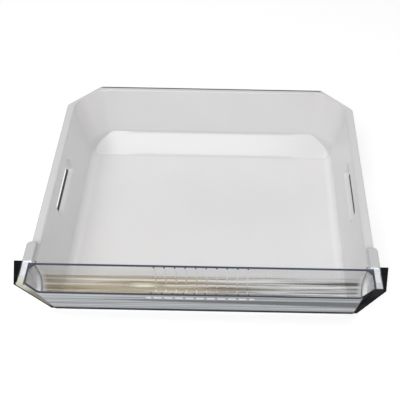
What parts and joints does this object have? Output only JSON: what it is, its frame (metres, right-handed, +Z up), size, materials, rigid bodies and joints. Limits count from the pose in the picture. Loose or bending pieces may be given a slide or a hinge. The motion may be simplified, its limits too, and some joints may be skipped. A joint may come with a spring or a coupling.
{
  "type": "freezer drawer",
  "caption": "Shallow freezer drawer: white moulded tub with cut rear corners, ramped rear, rimmed sides and side hand slots, closed by a clear front panel with a ribbed finger trough.",
  "frame": {"origin": "centre of the drawer's footprint on its underside", "axes": "+X across the drawer to the right as seen from its front, +Y towards its rear, +Z up"},
  "size_m": [0.45, 0.3562, 0.1275],
  "materials": {
    "white_plastic": "smooth white moulded plastic, satin gloss",
    "clear_plastic": "clear moulded polystyrene, polished"
  },
  "bodies": {
    "root": {"tub": "white_plastic", "front_panel": "clear_plastic"}
  },
  "joints": []
}
